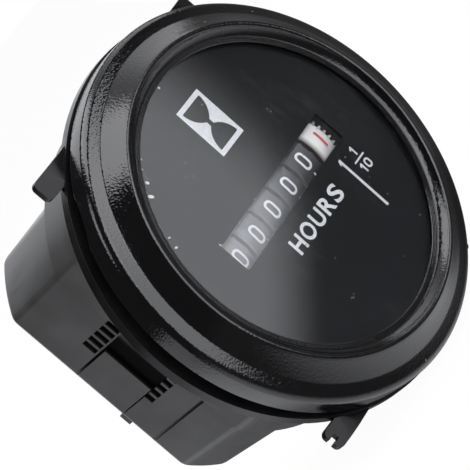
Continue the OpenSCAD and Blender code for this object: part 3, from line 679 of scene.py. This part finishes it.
# Number wheels
# Moulded wheels with hot-stamped digits, five black with white digits and the tenths white with red.
# A wheel turns with its front going down, so each next digit comes from above.
def moulded(name, colour, roughness, variation=0.25, gloss=0.5, shade=None):
    """Injection-moulded plastic: a fine spark-eroded grain, slight clouding of tone and of gloss."""
    finish, place = new_finish(name)
    grain = place.noise(8300.0, 3.0)
    cloud = place.noise(130.0, 4.0)
    dark = tuple(c * (1 - variation) for c in colour)
    pale = tuple(c * (1 + variation) for c in colour)
    tone = cloud.above(0.3, 0.7).mix((*dark, 1), (*pale, 1))
    bump = place.node("ShaderNodeBump", {}, {"Strength": 0.1, "Distance": 0.05 * mm, "Height": grain})
    skin = place.node("ShaderNodeBsdfPrincipled", {}, {"Base Color": tone, "Normal": bump,
                                                       "Roughness": cloud * 0.1 + (roughness - 0.05),
                                                       "Specular IOR Level": gloss})
    # A shade lays a flat matt colour over the plastic, for painted light, painted shade and dust.
    if shade:
        where, flat_tone = shade(place)
        matt = place.node("ShaderNodeBsdfDiffuse", {}, {"Color": (*flat_tone, 1)})
        skin = place.node("ShaderNodeMixShader", {}, {"Fac": where, "Shader": skin, "Shader_001": matt})
    place.node("ShaderNodeOutputMaterial", {}, {"Surface": skin})
    return finish


wheel_pitch = 5 * mm


def dusty_wheels(place):
    """Dust smears, with painted light that grows to the left and painted light on each left flank."""
    flank_w = 0.2 * mm
    x = place.part(0)
    from_flank = place.maths("FLOORED_MODULO", x + flank_w, wheel_pitch)
    # Painted light: a pale left flank on each wheel, over the shade in the gap between wheels.
    flank = from_flank.above(flank_w, 0.16 * mm) * (x.above(8 * mm, -9 * mm) * 0.55 + 0.45)
    smears = place.noise(420.0, 3.0)
    # Dust smears, with painted light that brightens the wheels towards the left.
    film = x.above(8 * mm, -11 * mm) * (smears * 0.3 + 0.14)
    return flank + (1 - flank) * film, (0.86, 0.87, 0.90)


def grimy_edge(place):
    """Painted brown shadow on the white wheel's left edge, beside the wheel that it drives."""
    x = place.part(0)
    return x.above(white_edge + 1.35 * mm, white_edge + 0.05 * mm), (0.075, 0.050, 0.034)


white_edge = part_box("tenths_wheel")[0].x
# The white wheel gets a painted shadow at its left edge; the black wheels get dust and painted light.
white_plastic = moulded("white_wheel_plastic", (0.80, 0.79, 0.77), 0.38, shade=grimy_edge)
black_plastic = moulded("black_wheel_plastic", (0.045, 0.046, 0.049), 0.30, gloss=1.0, shade=dusty_wheels)
red_ink = moulded("red_stamped_ink", (0.62, 0.10, 0.10), 0.42)
stamp_ink = moulded("white_stamped_ink", (0.90, 0.91, 0.93), 0.45, variation=0.06)
digit_step = 36
digit_h = 2.9
digit_rise = 0.03
digit_weight = 0.04
digit_squeeze = 0.85
zero_w = 1.66
zero_stroke = 0.4
first_digit_x = 12.1 * mm
# Each wheel with its reading, and how far its digits are stamped to the right and up, in millimetres.
wheels = [("tenths_wheel", 1, 0.25, -0.48), ("ones_wheel", 0, 0.08, -0.13), ("tens_wheel", 0, 0.08, -0.40),
          ("hundreds_wheel", 0, 0.1, -0.43), ("thousands_wheel", 0, 0.08, -0.63),
          ("ten_thousands_wheel", 0, 0.15, -0.68)]
joints = {j["child"]: j for j in frame["joints"]}


def stamped_digit(name, digit, radius):
    """One digit bowed to the rim, at the front of a wheel whose axis is the object's own X."""
    if digit == 0:
        piece = ring_zero(name, zero_w, digit_h, zero_stroke)
    else:
        piece = lettered(name, str(digit), digit_h - 0.1, digit_weight, digit_squeeze)
    bpy.ops.object.mode_set(mode="EDIT")
    cuts = 10
    for i in range(1, cuts):
        bpy.ops.mesh.select_all(action="SELECT")
        height = (i / cuts - 0.5) * 1.1 * digit_h * mm
        bpy.ops.mesh.bisect(plane_co=(0, height, 0), plane_no=(0, 1, 0))
    bpy.ops.object.mode_set(mode="OBJECT")
    piece.location.z = radius
    settle(piece)
    piece.rotation_euler.y = math.radians(90)
    settle(piece)
    bow = piece.modifiers.new("bow", "CAST")
    bow.cast_type = "CYLINDER"
    bow.factor = 1
    bow.size = radius
    bpy.ops.object.modifier_apply(modifier=bow.name)
    piece.rotation_euler.y = math.radians(-90)
    settle(piece)
    piece.rotation_euler.x = math.radians(90)
    settle(piece)
    return piece


for wheel_index, (wheel_name, reading, aside, above) in enumerate(wheels):
    wheel = frame["nodes"][wheel_name]
    dress(wheel, white_plastic if reading else black_plastic)
    low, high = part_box(wheel_name)
    axis = Vector(joints[wheel_name]["pos_m"])
    rim_r = axis.y - low.y + digit_rise * mm
    middle = first_digit_x - wheel_pitch * wheel_index + aside * mm
    digits = []
    for digit in range(10):
        piece = stamped_digit(f"{wheel_name}_digit_{digit}", digit, rim_r)
        piece.rotation_euler.x = math.radians(-digit_step * (digit - reading)) - above * mm / rim_r
        settle(piece)
        piece.location = (middle, axis.y, axis.z)
        settle(piece)
        digits.append(piece)
    band = joined(digits, wheel_name.replace("_wheel", "_digits"))
    dress(band, red_ink if reading else stamp_ink)
    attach(band, wheel_name)


# Case and clip
# The case is moulded in black glass-filled plastic; the clip is pressed on the neck from behind.
def flat_hollows(place):
    """Painted shade in the slots and the pocket of the drafted side flats, by how deep a spot lies."""
    x, y, z = (place.part(i) for i in range(3))
    neck_l = 14
    flat_at_neck = 20.35
    draft = 0.0559
    flat_at = (flat_at_neck + neck_l * draft) * mm - y * draft
    deep = (flat_at - place.maths("ABSOLUTE", x)).above(0.05 * mm, 0.45 * mm)
    near_tongue = z.above(7.0 * mm, 6.9 * mm) * z.above(-6.0 * mm, -5.9 * mm)
    behind_neck = y.above(14.0 * mm, 14.1 * mm) * y.above(28.2 * mm, 28.0 * mm)
    return deep * near_tongue * behind_neck, (0.004, 0.004, 0.004)


# The case gets painted shade in the hollows of its side flats.
case_plastic = moulded("case_plastic", (0.030, 0.030, 0.031), 0.34, gloss=0.38, shade=flat_hollows)
clip_plastic = moulded("clip_plastic", (0.006, 0.006, 0.0065), 0.22, gloss=0.22)


def case_corner(start, end):
    """The radius of corners between flats and round sides, and of the neck's rear rim, in millimetres."""
    corner_r = 0.6
    rim_r = 0.28
    near = 0.05 * mm
    neck_l = 14 * mm
    neck_flat = 20.75 * mm
    length = abs(end.y - start.y)
    if max(abs(abs(p.x) - neck_flat) for p in (start, end)) < near and length > 12 * mm:
        return corner_r
    nearer = min(start.y, end.y)
    goes_back = length > 9 * mm and nearer > neck_l - 0.5 * mm or length > 0.2 * mm and nearer > 28 * mm
    if goes_back and abs(start.z) > 11 * mm:
        return corner_r
    on_rim = max(abs(p.y - neck_l) for p in (start, end)) < near
    return rim_r if on_rim and abs(start.x) > neck_flat - 0.25 * mm else 0


def wing_bend(start, end):
    """The radius of the bends across the clip's four wings, in millimetres."""
    bend_r = 1.6
    near = 0.05 * mm
    bend_x = 18 * mm
    return bend_r if max(abs(abs(p.x) - bend_x) for p in (start, end)) < near else 0


def round_off(piece, radius_of):
    """Rounds those sharp edges for which radius_of gives a size in millimetres."""
    bpy.ops.mesh.edges_select_sharp(sharpness=math.radians(15))
    bpy.ops.object.mode_set(mode="OBJECT")
    largest = 2.0
    weights = piece.data.attributes.new("bevel_weight_edge", "FLOAT", "EDGE")
    for edge in piece.data.edges:
        start, end = (piece.data.vertices[i].co for i in edge.vertices)
        weights.data[edge.index].value = radius_of(start, end) / largest if edge.select else 0
    rounding = piece.modifiers.new("rounding", "BEVEL")
    rounding.limit_method = "WEIGHT"
    rounding.width = largest * mm
    rounding.segments = 6
    rounding.use_clamp_overlap = False
    bpy.ops.object.modifier_apply(modifier=rounding.name)
    bpy.ops.object.mode_set(mode="EDIT")
    bpy.ops.mesh.select_all(action="DESELECT")


def eased(node_name, name, width, radius_of):
    """A copy of a CAD piece with its flat faces made whole and small mould radii on its sharp edges."""
    bpy.ops.object.select_all(action="DESELECT")
    node = frame["nodes"][node_name]
    node.select_set(True)
    bpy.context.view_layer.objects.active = node
    bpy.ops.object.duplicate()
    piece = bpy.context.object
    piece.name = name
    bpy.ops.object.mode_set(mode="EDIT")
    bpy.ops.mesh.select_all(action="SELECT")
    bpy.ops.mesh.remove_doubles(threshold=0.003 * mm)
    bpy.ops.mesh.customdata_custom_splitnormals_clear()
    bpy.ops.mesh.dissolve_limited(angle_limit=math.radians(0.6))
    bpy.ops.mesh.normals_make_consistent(inside=False)
    bpy.ops.mesh.select_all(action="DESELECT")
    bpy.ops.mesh.select_mode(type="EDGE")
    round_off(piece, radius_of)
    bpy.ops.mesh.edges_select_sharp(sharpness=math.radians(30))
    bpy.ops.mesh.bevel(offset=width * mm, segments=2, affect="EDGES", clamp_overlap=True)
    bpy.ops.object.mode_set(mode="OBJECT")
    bpy.ops.object.shade_smooth_by_angle(angle=math.radians(12))
    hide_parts(node_name)
    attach(piece, "meter_body")
    return piece


dress(eased("case", "case_shell", 0.15, case_corner), case_plastic)
dress(eased("retaining_clip", "clip_ring", 0.1, wing_bend), clip_plastic)

# Movement and connections
# What the closed case holds: frame, shafts, motor and circuit board, and the two blades at the rear.
rubber = moulded("gasket_rubber", (0.02, 0.02, 0.02), 0.7)
natural = moulded("natural_plastic", (0.72, 0.69, 0.60), 0.45)
frame_grey = moulded("frame_plastic", (0.55, 0.54, 0.50), 0.5)
board_green = moulded("board_green", (0.02, 0.12, 0.06), 0.3)
chip_black = moulded("chip_black", (0.02, 0.02, 0.021), 0.5)
sleeve_blue = moulded("capacitor_sleeve", (0.03, 0.05, 0.16), 0.35)


def metal(name, colour, roughness):
    """Drawn or stamped metal with fine lines along it and slight stains."""
    finish, place = new_finish(name)
    along = place.node("ShaderNodeMapping", {}, {"Vector": place, "Scale": (200.0, 6000.0, 6000.0)})
    lines = along.noise(1.0, 3.0)
    cloud = place.noise(250.0, 3.0)
    dark = tuple(c * 0.8 for c in colour)
    tone = cloud.above(0.3, 0.7).mix((*dark, 1), (*colour, 1))
    bump = place.node("ShaderNodeBump", {}, {"Strength": 0.06, "Distance": 0.02 * mm, "Height": lines})
    skin = place.node("ShaderNodeBsdfPrincipled", {}, {"Base Color": tone, "Metallic": 1.0, "Normal": bump,
                                                       "Roughness": lines * 0.15 + (roughness - 0.07)})
    place.node("ShaderNodeOutputMaterial", {}, {"Surface": skin})
    return finish


steel = metal("bright_steel", (0.62, 0.62, 0.63), 0.28)
magnet = metal("sintered_magnet", (0.22, 0.22, 0.23), 0.5)
core = metal("core_steel", (0.48, 0.48, 0.49), 0.4)
copper = metal("copper_wire", (0.72, 0.36, 0.17), 0.35)
can = metal("can_metal", (0.7, 0.7, 0.72), 0.25)
tin = metal("tinned_brass", (0.74, 0.71, 0.62), 0.3)
inner = {
    "lens_gasket": rubber, "wheel_shaft": steel, "pinion_shaft": steel, "idler_arbor": steel,
    "rotor_arbor": steel, "idler_gear": natural, "rotor": magnet, "counter_frame": frame_grey,
    "stator_core": core, "coil_bobbin": natural, "coil_winding": copper, "circuit_board": board_green,
    "crystal": can, "capacitor": sleeve_blue, "control_chip": chip_black, "positive_terminal": tin,
    "negative_terminal": tin,
}
for place_name in ("ones", "tens", "hundreds", "thousands", "ten_thousands"):
    inner[place_name + "_pinion"] = natural
for node_name, skin in inner.items():
    dress(frame["nodes"][node_name], skin)
